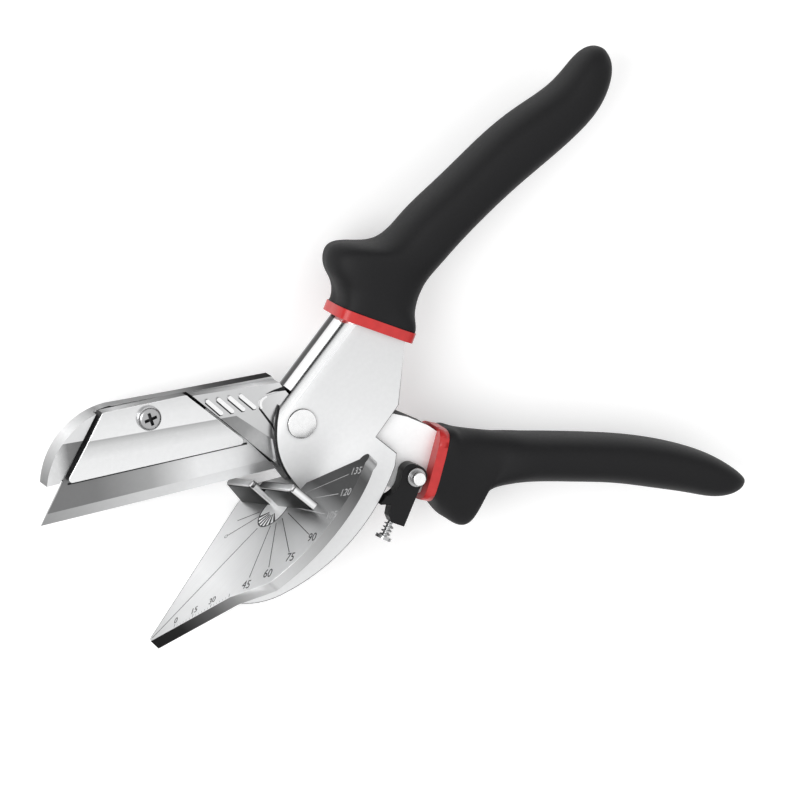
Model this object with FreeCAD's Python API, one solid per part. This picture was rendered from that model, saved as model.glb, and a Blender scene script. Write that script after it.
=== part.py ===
"""Hand-held mitre shear: two crossed levers, a replaceable trapezoid blade and a fan-shaped mitre table.

Millimetres. The tool lies on its side. The origin is the centre of the protractor on the table's face.
+X runs back along the zero line towards the handles, +Y stands off the table's face, and +Z is the pivot's
direction, up from the bench. Shapes are drawn about the pivot, then moved so that the protractor's centre
is the origin. Everything on the blade lever is drawn with the jaws shut and turned open at the end.
"""
import FreeCAD, Part
import math
import os

# ---- driving dimensions -------------------------------------------------------------------------
TABLE_DROP = 11.6           # from the pivot down to the table's face
HUB_AHEAD = 20.2            # from the pivot forward to the protractor's centre
BLADE_CANT = 0.6            # degrees that the blade is tipped up in its holder
JAW_OPEN = 35.0 + BLADE_CANT    # between the blade's edge and the table, jaws fully open

CHANNEL_HALF = 6.5          # half the outer width of the folded steel channel
WALL = 2.0                  # its sheet
BEND_RADIUS = 5.0           # outer radius of its folds
TANG_HALF = 4.9             # half the width of the channel's narrow tail inside the grip
TABLE_THICK = 3.0
TABLE_RADIUS = 33.0         # rim of the fan, about the protractor's centre
HUB_RADIUS = 5.2            # serrated disc let into the table
HUB_DEPTH = 1.4
HUB_SETBACK = 0.7           # the disc sits a little behind and beside the point where the lines meet
HUB_ASIDE = 3.2
FENCE_THICK = 2.2
FENCE_HIGH = 7.2
FENCE_TURN = 13.0           # degrees that the fence is turned back from square
FENCE_FRONT = -18.9         # front face, in the blade's plane

LEVER_HALF = 4.0            # half the blade lever's thickness
BLADE_LONG = 61.0           # standard trapezoid utility blade
BLADE_SHORT = 33.0
BLADE_HIGH = 19.0
BLADE_THICK = 0.6
BLADE_HEEL = 6.0            # from the pivot forward to the heel of the cutting edge
EDGE_GAP = 0.1              # left under the cutting edge when the jaws are shut
BEVEL_HIGH = 2.6            # ground bevel along the cutting edge
CLAMP_THICK = LEVER_HALF - BLADE_THICK / 2.0

RIVET_RADIUS = 2.6          # shank of the pivot rivet
RIVET_HEAD = 3.7
RIVET_HEAD_HIGH = 0.7
BUSH_RADIUS = 3.3
RUNNING_FIT = 0.04
WASHER_RADIUS = 6.2
WASHER_THICK = 0.3

SCREW_RADIUS = 2.0          # M4 clamp screw
SCREW_HEAD_RADIUS = 3.0
SCREW_HEAD_HIGH = 1.7
SCREW_SLOT = 0.75           # width of its cross recess
PEG_RADIUS = 1.3

COLLAR_LONG = 2.6           # red ring at the mouth of each grip
COLLAR_PROUD = 0.15

LATCH_LOW = 4.25            # the latch lies against the near face of the lever's shank
LATCH_HIGH = 7.6
LATCH_PIN_RADIUS = 1.5
LATCH_EYE_RADIUS = 2.9
PLUNGER_RADIUS = 0.7
PLUNGER_HEAD_RADIUS = 2.1
PLUNGER_TRAVEL = 2.4
PLUNGER_HELD = 1.4          # what stays in the latch beyond the travel when the plunger is out

# ---- helpers ------------------------------------------------------------------------------------
def point(xy, z=0.0):
    return FreeCAD.Vector(xy[0], xy[1], z)


def outline(start, *steps):
    """A closed wire: a step is the next corner, or a (middle, end) pair for an arc."""
    edges = []
    here = start
    for step in list(steps) + [start]:
        if isinstance(step[0], tuple):
            middle, end = step
            edges.append(Part.Arc(point(here), point(middle), point(end)).toShape())
        else:
            end = step
            if end == here:
                continue
            edges.append(Part.LineSegment(point(here), point(end)).toShape())
        here = end
    return Part.Wire(edges)


def slab(wire, low, high):
    """A wire in the XY plane as a solid between two heights."""
    lifted = wire.copy()
    lifted.translate(FreeCAD.Vector(0, 0, low))
    return Part.Face(lifted).extrude(FreeCAD.Vector(0, 0, high - low))


def disc(xy, radius, low, high):
    return Part.makeCylinder(radius, high - low, point(xy, low))


def turned(shape, degrees, about=(0.0, 0.0)):
    done = shape.copy()
    done.rotate(point(about), FreeCAD.Vector(0, 0, 1), degrees)
    return done


def bar(start, end, half, low, high):
    """A round-ended bar between two points."""
    along = math.degrees(math.atan2(end[1] - start[1], end[0] - start[0]))
    long = math.dist(start, end)
    wire = outline((0.0, -half), (long, -half), ((long + half, 0.0), (long, half)),
                   (0.0, half), ((-half, 0.0), (0.0, -half)))
    shape = slab(wire, low, high)
    shape.rotate(FreeCAD.Vector(), FreeCAD.Vector(0, 0, 1), along)
    shape.translate(point(start))
    return shape


def round_edges(solid, radius, wanted):
    """Round the edges that the test picks."""
    edges = [edge for edge in solid.Edges if wanted(edge)]
    return solid.makeFillet(radius, edges) if edges else solid


def upright(edge):
    low, high = edge.BoundBox, edge.BoundBox
    return high.ZMax - low.ZMin > 0.5 and high.XMax - low.XMin < 1e-6 and high.YMax - low.YMin < 1e-6


def at_height(edge, z):
    return abs(edge.BoundBox.ZMin - z) < 1e-6 and abs(edge.BoundBox.ZMax - z) < 1e-6


def coil(radius, wire_radius, pitch, turns):
    """A round-wire spring standing on z = 0, about the Z axis."""
    path = Part.makeHelix(pitch, pitch * turns, radius)
    mouth = Part.Circle(FreeCAD.Vector(radius, 0, 0), FreeCAD.Vector(0, 1, 0), wire_radius)
    pipe = Part.Wire(path).makePipeShell([Part.Wire(mouth.toShape())], True, True)
    pipe.translate(FreeCAD.Vector(0, 0, wire_radius))
    return pipe


# ---- grips: sections between a back point and a front point, each with its half depth ------------
OVAL_POINTS = 20
OVAL_POWER = 2.5
COLLAR_POWER = 4.5          # the collars are squarer than the grips


def oval(back, front, half_deep, slim=0.15, power=OVAL_POWER):
    """A smooth closed curve on the line between two points, deep along Z and slimmer at its front end."""
    middle = ((back[0] + front[0]) / 2.0, (back[1] + front[1]) / 2.0)
    across = ((back[0] - front[0]) / 2.0, (back[1] - front[1]) / 2.0)
    spots = []
    for index in range(OVAL_POINTS):
        angle = 2.0 * math.pi * index / OVAL_POINTS
        wide = math.copysign(abs(math.cos(angle)) ** (2.0 / power), math.cos(angle))
        deep = math.copysign(abs(math.sin(angle)) ** (2.0 / power), math.sin(angle))
        tall = half_deep * deep * (1.0 + slim * (wide - 1.0) / 2.0)
        spots.append(point((middle[0] + across[0] * wide, middle[1] + across[1] * wide), tall))
    curve = Part.BSplineCurve()
    curve.interpolate(spots, PeriodicFlag=True)
    return Part.Wire(curve.toShape())


# back point, front point, half depth and, where they differ, how much slimmer the front is and the power
UPPER_GRIP = [
    ((27.1, 12.5), (35.6, -7.3), 7.6, 0.0, 4.0),
    ((29.8, 14.3), (38.0, -5.2), 8.1, 0.05, 3.4),
    ((31.4, 18.6), (40.6, -3.6), 8.5),
    ((33.4, 22.0), (43.2, -2.2), 8.7),
    ((37.6, 22.8), (45.8, -1.3), 8.9),
    ((41.2, 19.4), (48.4, -0.8), 9.1),
    ((45.4, 15.2), (52.4, -0.5), 9.3),
    ((55.0, 13.9), (58.6, -0.3), 9.4),
    ((68.0, 13.1), (69.6, -0.7), 9.3),
    ((84.0, 12.1), (84.0, -2.3), 9.0),
    ((96.0, 9.9), (95.0, -3.8), 8.6),
    ((106.4, 8.1), (105.0, -4.1), 8.0),
    ((113.2, 8.5), (111.6, -2.5), 6.9),
    ((117.2, 7.5), (116.2, 0.2), 4.6),
    ((118.6, 5.4), (118.2, 3.0), 1.6),
]
LOWER_GRIP = [
    ((37.7, -11.6), (30.0, -28.2), 7.6, 0.0, 4.0),
    ((41.0, -12.6), (32.2, -31.0), 8.1, 0.2, 3.2),
    ((44.0, -13.7), (34.9, -34.6), 8.5, 0.4),
    ((46.8, -14.7), (37.7, -37.1), 8.7, 0.5),
    ((49.0, -15.5), (40.2, -37.7), 8.9, 0.55),
    ((51.0, -16.2), (42.2, -36.2), 9.0, 0.55),
    ((53.0, -16.8), (43.5, -33.4), 9.1, 0.5),
    ((55.2, -17.4), (45.4, -30.8), 9.2, 0.35),
    ((58.6, -18.4), (50.2, -29.7), 9.3),
    ((65.0, -20.1), (58.4, -30.8), 9.4),
    ((74.4, -22.6), (69.4, -33.6), 9.3),
    ((85.2, -25.8), (79.8, -36.6), 9.0),
    ((96.0, -30.0), (90.4, -40.6), 8.6),
    ((105.4, -35.0), (99.8, -44.4), 8.0),
    ((111.4, -39.6), (107.4, -47.2), 6.9),
    ((114.7, -43.2), (112.6, -47.2), 4.4),
    ((115.6, -44.8), (114.9, -46.4), 1.5),
]


def grip(stations, steel):
    """The moulded grip, filled round the steel that it holds."""
    skin = Part.makeLoft([oval(*station) for station in stations], True, False)
    return skin.cut(steel)


def collar(mouth, steel):
    """The ring in front of the grip's mouth, slipped over the steel."""
    back, front, half_deep = mouth[:3]
    high = math.dist(back, front)
    square = ((front[1] - back[1]) / high, (back[0] - front[0]) / high)
    grow = COLLAR_PROUD / high
    back_out = (back[0] + (back[0] - front[0]) * grow, back[1] + (back[1] - front[1]) * grow)
    front_out = (front[0] + (front[0] - back[0]) * grow, front[1] + (front[1] - back[1]) * grow)
    face = Part.Face(oval(back_out, front_out, half_deep + COLLAR_PROUD, 0.0, COLLAR_POWER))
    ring = face.extrude(point((square[0] * COLLAR_LONG, square[1] * COLLAR_LONG)))
    return ring.cut(steel)


# ---- frame lever --------------------------------------------------------------------------------
WEB_FRONT = (2.6, 7.6)              # top corner of the side plates
WEB_BACK = (25.4, 10.0)             # where the web meets the grip
WEB_START = 4.0                     # the web itself starts here, behind the lever's back corner
TANG_TOP = 9.6
TANG_LOW = 1.8
TANG_END = 86.0
CRESCENT_TIP = (-45.0, -TABLE_DROP - TABLE_THICK)


def side_outline():
    """One side plate, from the grip round the pivot boss, the lock's notch and the crescent web."""
    under = -TABLE_DROP - TABLE_THICK
    return outline(WEB_FRONT, WEB_BACK, (26.4, 10.0), (33.6, -4.4), (19.8, -15.7), (18.5, -15.9),
                   (10.3, -17.0), (11.0, -24.2), (8.5, -26.1), ((-13.0, -30.9), (-32.0, -27.3)),
                   ((-39.8, -22.5), CRESCENT_TIP), (-11.9, under), (-11.7, -TABLE_DROP),
                   (-11.3, -8.0), ((-8.1, 0.4), WEB_FRONT))


def table_outline():
    """The fan: tip, straight far edge, back edges, round rim and the slanted nose."""
    rim = lambda degrees: (-HUB_AHEAD + TABLE_RADIUS * math.cos(math.radians(degrees)),
                           TABLE_RADIUS * math.sin(math.radians(degrees)))
    return outline((-63.4, 1.3), (-63.0, -0.1), (-22.7, -16.3), (-17.0, -16.9), (-10.9, -6.0), (-10.7, 4.9),
                   (2.5, 20.1), ((4.7, 22.1), rim(46.5)), (rim(82.0), rim(117.0)),
                   ((-38.7, 24.6), (-43.3, 18.4)))


def mitre_table():
    plate = slab(table_outline(), 0.0, TABLE_THICK)
    plate.rotate(FreeCAD.Vector(), FreeCAD.Vector(1, 0, 0), 90.0)
    plate.translate(FreeCAD.Vector(0, -TABLE_DROP, 0))
    seat = hub_slug(0.0)
    return plate.cut(seat)


def hub_slug(serration):
    """The round slug at the protractor's centre, its front sector cut with radial serrations."""
    centre = FreeCAD.Vector(HUB_SETBACK - HUB_AHEAD, -TABLE_DROP, HUB_ASIDE)
    slug = Part.makeCylinder(HUB_RADIUS, HUB_DEPTH, centre - FreeCAD.Vector(0, HUB_DEPTH, 0),
                             FreeCAD.Vector(0, 1, 0))
    if not serration:
        return slug
    for index in range(7):
        angle = 118.0 + index * 18.0
        groove = Part.makeBox(HUB_RADIUS, serration, 0.4, FreeCAD.Vector(1.6, -serration, -0.2))
        groove.rotate(FreeCAD.Vector(), FreeCAD.Vector(0, 1, 0), -angle)
        groove.translate(centre)
        slug = slug.cut(groove)
    return slug


def fence(inner_low, outer_low, outer_high, inner_high):
    """One upright plate of the fence between two places along its line, seen from the tip."""
    corners = [(0.0, inner_low), (0.0, outer_low), (FENCE_HIGH, outer_high), (FENCE_HIGH, inner_high)]
    face = Part.makePolygon([FreeCAD.Vector(0, y, z) for y, z in corners + corners[:1]])
    plate = Part.Face(face).extrude(FreeCAD.Vector(FENCE_THICK, 0, 0))
    plate = round_edges(plate, 0.6, lambda edge: edge.BoundBox.YMin > FENCE_HIGH - 0.01)
    plate.rotate(FreeCAD.Vector(), FreeCAD.Vector(0, 1, 0), FENCE_TURN)
    plate.translate(FreeCAD.Vector(FENCE_FRONT, -TABLE_DROP, 0))
    return plate


def folded(start, end, half, deep, radius):
    """A long block whose top face carries two folded, rounded edges and follows a line."""
    long = math.dist(start, end)
    block = Part.makeBox(long, deep, 2.0 * half, FreeCAD.Vector(0, -deep, -half))
    block = round_edges(block, radius, lambda edge: edge.BoundBox.YMin > -1e-6 and edge.Length > 2.0 * half)
    slope = math.degrees(math.atan2(end[1] - start[1], end[0] - start[0]))
    block.rotate(FreeCAD.Vector(), FreeCAD.Vector(0, 0, 1), slope)
    block.translate(point(start))
    return block


def frame_channel(table):
    """Folded sheet: two side plates, a web along the back and a narrow tail for the grip."""
    slope = (WEB_BACK[1] - WEB_FRONT[1]) / (WEB_BACK[0] - WEB_FRONT[0])
    on_web = lambda x: (x, WEB_FRONT[1] + slope * (x - WEB_FRONT[0]))
    body = slab(side_outline(), -CHANNEL_HALF, CHANNEL_HALF)
    body = body.common(folded(on_web(-80.0), on_web(60.0), CHANNEL_HALF, 60.0, BEND_RADIUS))
    hollow = slab(outline((-70.0, -60.0), (60.0, -60.0), (60.0, on_web(60.0)[1] - WALL),
                          (WEB_START, on_web(WEB_START)[1] - WALL), (WEB_START, 40.0), (-70.0, 40.0)),
                  -CHANNEL_HALF + WALL, CHANNEL_HALF - WALL)
    body = body.cut(hollow)
    tail = folded((24.6, TANG_TOP), (TANG_END, TANG_TOP - 2.0), TANG_HALF, TANG_TOP - TANG_LOW, 2.0)
    trough = slab(outline((20.0, TANG_LOW - 5.0), (90.0, TANG_LOW - 5.0), (90.0, TANG_TOP - 2.1 - WALL),
                          (24.6, TANG_TOP - WALL), (20.0, TANG_TOP - WALL - 0.5)),
                  -TANG_HALF + WALL, TANG_HALF - WALL)
    body = body.fuse(tail.cut(trough)).removeSplitter()
    bore = disc((0, 0), RIVET_RADIUS + RUNNING_FIT, -20.0, 20.0)
    return body.cut(bore).cut(table)


def pivot_rivet():
    """Shank with a flat round head on the near side and an upset head on the far side."""
    reach = CHANNEL_HALF + RIVET_HEAD_HIGH
    shank = disc((0, 0), RIVET_RADIUS, -reach, reach)
    near_head = disc((0, 0), RIVET_HEAD, CHANNEL_HALF, reach)
    heads = near_head.fuse(disc((0, 0), RIVET_HEAD, -reach, -CHANNEL_HALF))
    heads = round_edges(heads, 0.25, lambda edge: at_height(edge, reach) or at_height(edge, -reach))
    return shank.fuse(heads).removeSplitter()


def pivot_washers():
    """A thin washer on each face of the blade lever's boss."""
    gap_top = CHANNEL_HALF - WALL
    ring = disc((0, 0), WASHER_RADIUS, gap_top - WASHER_THICK - 0.05, gap_top - 0.05)
    ring = ring.cut(disc((0, 0), BUSH_RADIUS + 0.1, 0.0, 10.0))
    other = ring.mirror(FreeCAD.Vector(), FreeCAD.Vector(0, 0, 1))
    return Part.makeCompound([ring, other])


SPRING_POCKET = 5.8
SPRING_FLOOR = -0.2
SPRING_RADIUS = 4.7
SPRING_WIRE = 0.45


def return_spring():
    """The turns of the torsion spring, in a pocket round the pivot in the lever's far face."""
    turns = coil(SPRING_RADIUS, SPRING_WIRE, 1.0, 2.5)
    turns.translate(FreeCAD.Vector(0, 0, -LEVER_HALF + 0.1))
    return turns


# ---- blade lever, jaws shut ---------------------------------------------------------------------
GROOVE_TOP = (-28.2, 16.0)          # line between the clamp's pocket and the ribbed arm
GROOVE_END = (-12.7, -2.4)
NOSE_TOP = (-47.7, 16.0)            # line between the pocket and the nose
NOSE_END = (-61.3, -1.4)
NOSE_HIGH = 2.4                     # the nose's near face lies below the clamp's
NOSE_TIP = (-64.4, -1.2)
HEEL_SEAT = [(1.5, -10.8), (-4.6, -10.7), (-12.0, -7.6), (-15.6, -1.9)]


def lever_outline():
    """Nose, holder, arm, boss and shank, with the tail for the grip."""
    return outline(NOSE_TIP, ((-58.0, 9.4), (-45.2, 14.2)), (-27.4, 13.0), (-3.6, 11.6), (-2.1, 8.6),
                   (-0.9, 6.75), ((1.2, 6.7), (3.5, 5.8)), (28.0, -5.8), (33.0, -9.3), (36.6, -12.9),
                   (38.2, -15.8), (87.0, -29.0), (85.0, -35.0), (40.0, -24.0), (33.0, -24.4), (26.6, -25.8),
                   (14.5, -18.5), ((9.0, -13.6), HEEL_SEAT[0]), *HEEL_SEAT[1:], (-60.3, -1.2))


def pocket_outline():
    """What the clamp plate and the blade need in the lever's near half."""
    return outline(GROOVE_TOP, (-70.0, 30.0), NOSE_TOP, NOSE_END, (-75.0, -1.4), (-75.0, -20.0),
                   (-6.5, -20.0), (-6.5, -9.9), GROOVE_END)


def blade_outline(grow=0.0):
    """The trapezoid, its long cutting edge downward."""
    side = (BLADE_LONG - BLADE_SHORT) / 2.0
    edge = -TABLE_DROP + EDGE_GAP
    heel = -BLADE_HEEL
    tip = heel - BLADE_LONG
    top = edge + BLADE_HIGH
    return outline((heel + grow, edge - grow), (heel - side + grow, top + grow),
                   (tip + side - grow, top + grow), (tip - grow, edge - grow))


def nose_outline():
    return outline(NOSE_TOP, NOSE_END, (-70.0, -10.0), (-80.0, 16.0))


def below_crease(face_high):
    """What falls away from a near face at that height, below the crease that crosses clamp and nose."""
    wedge = Part.makePolygon([point((0, 0.0), face_high), point((0, -CREASE_RUN), face_high - CREASE_FALL),
                              point((0, -CREASE_RUN), face_high + 1.0), point((0, 0.0), face_high + 1.0),
                              point((0, 0.0), face_high)])
    cutter = Part.Face(wedge).extrude(FreeCAD.Vector(CREASE_BACK[0] - CREASE_FRONT[0], 0, 0))
    slope = math.degrees(math.atan2(CREASE_BACK[1] - CREASE_FRONT[1], CREASE_BACK[0] - CREASE_FRONT[0]))
    cutter.rotate(FreeCAD.Vector(), FreeCAD.Vector(0, 0, 1), slope)
    cutter.translate(point(CREASE_FRONT))
    return cutter


def blade_lever():
    body = slab(lever_outline(), -LEVER_HALF, LEVER_HALF)
    body = body.cut(slab(pocket_outline(), -BLADE_THICK / 2.0, LEVER_HALF + 1.0))
    seat = slab(blade_outline(0.25), -BLADE_THICK / 2.0, BLADE_THICK / 2.0 + 0.05)
    body = body.cut(turned(seat, -BLADE_CANT))
    nose = slab(nose_outline(), 0.0, LEVER_HALF + 2.0)
    body = body.cut(slab(nose_outline(), NOSE_HIGH, LEVER_HALF + 1.0))
    body = body.cut(below_crease(NOSE_HIGH).common(nose))
    facet = outline((-20.6, 6.6), (-16.7, 6.6), (-7.2, -2.8), (-7.0, -9.0), (-13.2, -2.2))
    body = body.cut(below_crease(LEVER_HALF).common(slab(facet, 0.0, LEVER_HALF + 2.0)))
    slope = outline((-26.4, 12.9), (-3.0, 10.7), (-3.0, 20.0), (-26.4, 20.0))
    body = body.cut(slab(slope, 0.4, LEVER_HALF + 1.0))
    for index in range(4):
        start = -22.0 + 2.85 * index
        rib = bar((start, 10.6 - 0.25 * index), (start + 2.9, 6.9 - 0.2 * index), 0.5, LEVER_HALF - 0.2,
                  LEVER_HALF + 0.45)
        body = body.fuse(rib)
    boss = outline((-7.6, 8.2), ((-8.9, 7.6), (-9.1, 5.6)), (-6.5, 0.6), ((-6.0, -4.0), (0.0, -6.6)),
                   ((6.6, 0.0), (0.6, 6.5)), (-0.9, 6.75), (-2.3, 8.6))
    body = body.fuse(slab(boss, LEVER_HALF - 0.2, LEVER_HALF + 0.12))
    body = body.cut(disc((0, 0), BUSH_RADIUS + RUNNING_FIT, -20.0, 20.0))
    body = body.cut(disc((0, 0), SPRING_POCKET, -LEVER_HALF - 1.0, SPRING_FLOOR))
    for hole in SCREW_HOLE, LATCH_HOLE:
        body = body.cut(disc(hole[0], hole[1], -20.0, 20.0))
    for peg in PEGS:
        body = body.cut(disc(peg, PEG_RADIUS, -3.0, 5.0))
    return body.removeSplitter()


def opened(xy, degrees):
    """Where a point drawn at one jaw angle lies after a turn about the pivot."""
    turn = math.radians(degrees)
    return (xy[0] * math.cos(turn) - xy[1] * math.sin(turn), xy[0] * math.sin(turn) + xy[1] * math.cos(turn))


CREASE_FRONT = (-66.0, 9.0)
CREASE_BACK = (-2.0, 4.2)
CREASE_RUN = 13.0
CREASE_FALL = 1.2
SCREW_AT = (-37.2, 10.1)
PEGS = [opened((-30.0, 5.9), -BLADE_CANT), opened((-43.0, 5.9), -BLADE_CANT)]
LATCH_AT_OPEN = (10.2, -31.9)           # the latch's pin with the jaws open
LATCH_AT = opened(LATCH_AT_OPEN, JAW_OPEN - BLADE_CANT)
SCREW_HOLE = (SCREW_AT, SCREW_RADIUS)
LATCH_HOLE = (LATCH_AT, LATCH_PIN_RADIUS)


def blade():
    """Steel blade with a ground bevel on both faces and two notches in its short edge."""
    body = slab(blade_outline(), -BLADE_THICK / 2.0, BLADE_THICK / 2.0)
    edge = -TABLE_DROP + EDGE_GAP
    for side in (-1.0, 1.0):
        wedge = Part.makePolygon([FreeCAD.Vector(0, edge - 0.01, 0.05 * side),
                                  FreeCAD.Vector(0, edge + BEVEL_HIGH, side * BLADE_THICK / 2.0),
                                  FreeCAD.Vector(0, edge - 0.01, side * BLADE_THICK / 2.0),
                                  FreeCAD.Vector(0, edge - 0.01, 0.05 * side)])
        cutter = Part.Face(wedge).extrude(FreeCAD.Vector(-100.0, 0, 0))
        body = body.cut(cutter)
    body = turned(body, -BLADE_CANT)
    notch = PEG_RADIUS + 0.15
    for peg in PEGS:
        body = body.cut(disc(peg, notch, -1.0, 1.0))
        mouth = Part.makeBox(2.0 * notch, 5.0, 2.0, FreeCAD.Vector(peg[0] - notch, peg[1], -1.0))
        body = body.cut(turned(mouth, -BLADE_CANT, peg))
    return body


def blade_pegs():
    """Two pegs in the holder that the blade's notches drop over."""
    return Part.makeCompound([disc(peg, PEG_RADIUS, -3.0, 2.2) for peg in PEGS])


def clamp_plate():
    """Trapezoid cover with round corners; its lower part falls away from a crease."""
    wire = outline((-60.0, -1.3), (-13.1, -2.5), (-26.9, 13.3), (-48.4, 14.1))
    low = BLADE_THICK / 2.0
    body = slab(wire, low, low + CLAMP_THICK)
    body = round_edges(body, 0.9, upright)
    body = body.cut(below_crease(LEVER_HALF))
    body = body.cut(disc(SCREW_AT, SCREW_RADIUS, -10.0, 10.0))
    for peg in PEGS:
        body = body.cut(disc(peg, PEG_RADIUS + 0.1, 0.0, 2.4))
    return body


def clamp_screw():
    """Pan-head M4 screw with a cross recess; it is threaded into the lever behind the plate."""
    top = LEVER_HALF + SCREW_HEAD_HIGH
    head = disc(SCREW_AT, SCREW_HEAD_RADIUS, LEVER_HALF, top)
    head = round_edges(head, 1.1, lambda edge: at_height(edge, top))
    shank = disc(SCREW_AT, SCREW_RADIUS, -LEVER_HALF + 0.3, LEVER_HALF)
    body = head.fuse(shank)
    for turn in (45.0, 135.0):
        slot = Part.makeBox(3.2, SCREW_SLOT, 2.0, FreeCAD.Vector(-1.6, -SCREW_SLOT / 2.0, 0))
        slot.rotate(FreeCAD.Vector(), FreeCAD.Vector(0, 0, 1), turn + 55.0)
        slot.translate(point(SCREW_AT, top - 1.1))
        body = body.cut(slot)
    return body.removeSplitter()


def pivot_bush():
    """Sleeve in the lever's boss, turning on the rivet."""
    half = CHANNEL_HALF - WALL - 0.1
    body = disc((0, 0), BUSH_RADIUS, -half, half)
    return body.cut(disc((0, 0), RIVET_RADIUS + RUNNING_FIT, -20.0, 20.0))


# ---- lock, drawn with the jaws open -------------------------------------------------------------
PLUNGER_DIRECTION = (-0.944, -0.330)
PLUNGER_MOUTH = (-1.8, -35.6)
PLUNGER_LONG = 3.9                      # from the latch's end face to the head
LATCH_WIRE = 0.2                        # radius of its spring's wire
LATCH_COIL_PITCH = 0.95


def along_plunger(distance):
    """A place on the plunger's line, so far out from the latch's end face."""
    return (PLUNGER_MOUTH[0] + PLUNGER_DIRECTION[0] * distance,
            PLUNGER_MOUTH[1] + PLUNGER_DIRECTION[1] * distance)


def latch_body():
    """Moulded latch: tall eye, straight body and a hooked toe that bears on the side plate's rim."""
    eye = LATCH_AT_OPEN
    around = lambda degrees: (eye[0] + LATCH_EYE_RADIUS * math.cos(math.radians(degrees)),
                              eye[1] + LATCH_EYE_RADIUS * math.sin(math.radians(degrees)))
    wire = outline((8.5, -28.5), ((10.7, -28.0), (12.4, -29.7)), around(10.0),
                   (around(-50.0), around(-112.0)), (-0.6, -38.5), (-2.0, -35.2), (-1.35, -33.6),
                   (1.1, -31.9), (-0.75, -29.9), (1.5, -29.5), ((3.9, -30.3), (6.2, -29.9)))
    body = slab(wire, LATCH_LOW, LATCH_HIGH)
    body = body.cut(disc(eye, LATCH_PIN_RADIUS + RUNNING_FIT, 0.0, 20.0))
    deepest = 2.0 * PLUNGER_TRAVEL + PLUNGER_HELD + 0.4
    return body.cut(plunger_rod(PLUNGER_RADIUS + 0.08, -deepest, 0.6))


def plunger_rod(radius, start, end):
    """A round rod along the plunger's line, between two distances from the latch's end face."""
    middle_height = (LATCH_LOW + LATCH_HIGH) / 2.0
    return Part.makeCylinder(radius, end - start, point(along_plunger(start), middle_height),
                             point(PLUNGER_DIRECTION))


def latch_screw():
    """Plunger: thin rod with a flat disc head, guided in the latch's end."""
    rod = plunger_rod(PLUNGER_RADIUS, -PLUNGER_TRAVEL - PLUNGER_HELD, PLUNGER_LONG + 0.4)
    head = plunger_rod(PLUNGER_HEAD_RADIUS, PLUNGER_LONG, PLUNGER_LONG + 0.8)
    return rod.fuse(head)


def latch_spring():
    """Coil spring between the latch's end face and the plunger's head."""
    body = coil(PLUNGER_RADIUS + 0.5, LATCH_WIRE, LATCH_COIL_PITCH, 3.4)
    body.rotate(FreeCAD.Vector(), FreeCAD.Vector(0, 1, 0), -90.0)
    body.rotate(FreeCAD.Vector(), FreeCAD.Vector(0, 0, 1),
                math.degrees(math.atan2(-PLUNGER_DIRECTION[1], -PLUNGER_DIRECTION[0])))
    body.translate(point(along_plunger(0.35), (LATCH_LOW + LATCH_HIGH) / 2.0))
    return body


def latch_pin():
    """Turned pin through the shank: button head below, stepped end standing out of the latch."""
    body = disc(LATCH_AT_OPEN, LATCH_PIN_RADIUS, -LEVER_HALF - 0.6, 10.2)
    body = body.fuse(disc(LATCH_AT_OPEN, 2.6, -LEVER_HALF - 0.9, -LEVER_HALF))
    body = body.fuse(disc(LATCH_AT_OPEN, 1.7, LATCH_HIGH + 0.7, 10.2))
    return round_edges(body.removeSplitter(), 0.3, lambda edge: at_height(edge, 10.2))


def latch_ring():
    """Dished ring washer between the latch and the pin's step."""
    ring = disc(LATCH_AT_OPEN, 2.4, LATCH_HIGH + 0.05, LATCH_HIGH + 0.65)
    ring = round_edges(ring, 0.25, lambda edge: at_height(edge, LATCH_HIGH + 0.65))
    return ring.cut(disc(LATCH_AT_OPEN, LATCH_PIN_RADIUS, 0.0, 20.0))


# ---- assembly -----------------------------------------------------------------------------------
def build():
    table = mitre_table()
    channel = frame_channel(table)
    lever = blade_lever()
    frame_nodes = {
        "frame_channel": channel,
        "mitre_table": table,
        "hub_disc": hub_slug(0.5),
        "far_fence": fence(-0.7, -15.6, -13.6, -1.9),
        "near_fence": fence(2.8, 20.6, 18.3, 2.8),
        "upper_collar": collar(UPPER_GRIP[0], channel),
        "upper_grip": grip(UPPER_GRIP, channel),
        "pivot_rivet": pivot_rivet(),
        "pivot_washers": pivot_washers(),
    }
    lever_nodes = {
        "blade_lever": lever,
        "pivot_bush": pivot_bush(),
        "return_spring": return_spring(),
        "blade": blade(),
        "blade_pegs": blade_pegs(),
        "clamp_plate": clamp_plate(),
        "clamp_screw": clamp_screw(),
        "lower_collar": collar(LOWER_GRIP[0], lever),
        "lower_grip": grip(LOWER_GRIP, lever),
    }
    lock_nodes = {
        "latch_body": latch_body(),
        "latch_pin": latch_pin(),
        "latch_ring": latch_ring(),
        "latch_screw": latch_screw(),
        "latch_spring": latch_spring(),
    }
    nodes = dict(frame_nodes)
    for name, shape in lever_nodes.items():
        nodes[name] = turned(shape, BLADE_CANT - JAW_OPEN)
    nodes.update(lock_nodes)
    for shape in nodes.values():
        shape.translate(FreeCAD.Vector(HUB_AHEAD, TABLE_DROP, 0))
    return nodes


def main():
    os.makedirs("parts", exist_ok=True)
    for name, shape in build().items():
        shape.exportStep("parts/%s.step" % name)
        box = shape.BoundBox
        print("%-15s valid=%s solids=%d volume=%9.2f  x %.1f..%.1f  y %.1f..%.1f  z %.1f..%.1f" % (
            name, shape.isValid(), len(shape.Solids), shape.Volume, box.XMin, box.XMax, box.YMin, box.YMax,
            box.ZMin, box.ZMax))


main()
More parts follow.
